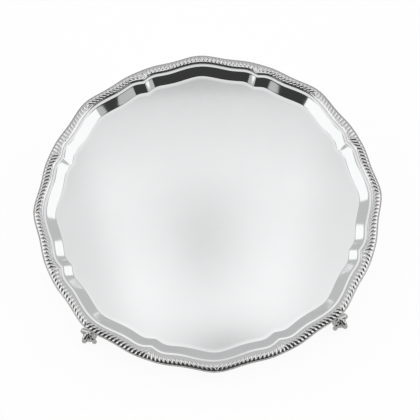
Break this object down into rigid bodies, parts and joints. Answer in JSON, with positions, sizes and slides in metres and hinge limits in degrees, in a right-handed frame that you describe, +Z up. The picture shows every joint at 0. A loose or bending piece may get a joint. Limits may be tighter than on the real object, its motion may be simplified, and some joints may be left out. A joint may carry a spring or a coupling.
{
  "type": "salver",
  "caption": "Shaped round silver salver with a flat well, bracketed raised side, applied gadroon border and claw-and-ball feet.",
  "frame": {"origin": "centre of the salver on the plane its four feet stand on", "axes": "+Z up out of the well; +X through an apex of the shaped outline, midway between two feet"},
  "size_m": [0.3032, 0.3032, 0.0338],
  "materials": {
    "sheet_silver": "polished sterling silver sheet, mirror bright with fine handling scratches",
    "cast_border_silver": "polished cast sterling silver, darker in the recesses",
    "cast_foot_silver": "polished cast sterling silver, darker in the recesses"
  },
  "bodies": {
    "root": {"tray_body": "sheet_silver", "border_segment_1": "cast_border_silver", "border_segment_2": "cast_border_silver", "border_segment_3": "cast_border_silver", "border_segment_4": "cast_border_silver", "border_segment_5": "cast_border_silver", "border_segment_6": "cast_border_silver", "border_segment_7": "cast_border_silver", "border_segment_8": "cast_border_silver", "foot_1": "cast_foot_silver", "foot_2": "cast_foot_silver", "foot_3": "cast_foot_silver", "foot_4": "cast_foot_silver"}
  },
  "joints": []
}
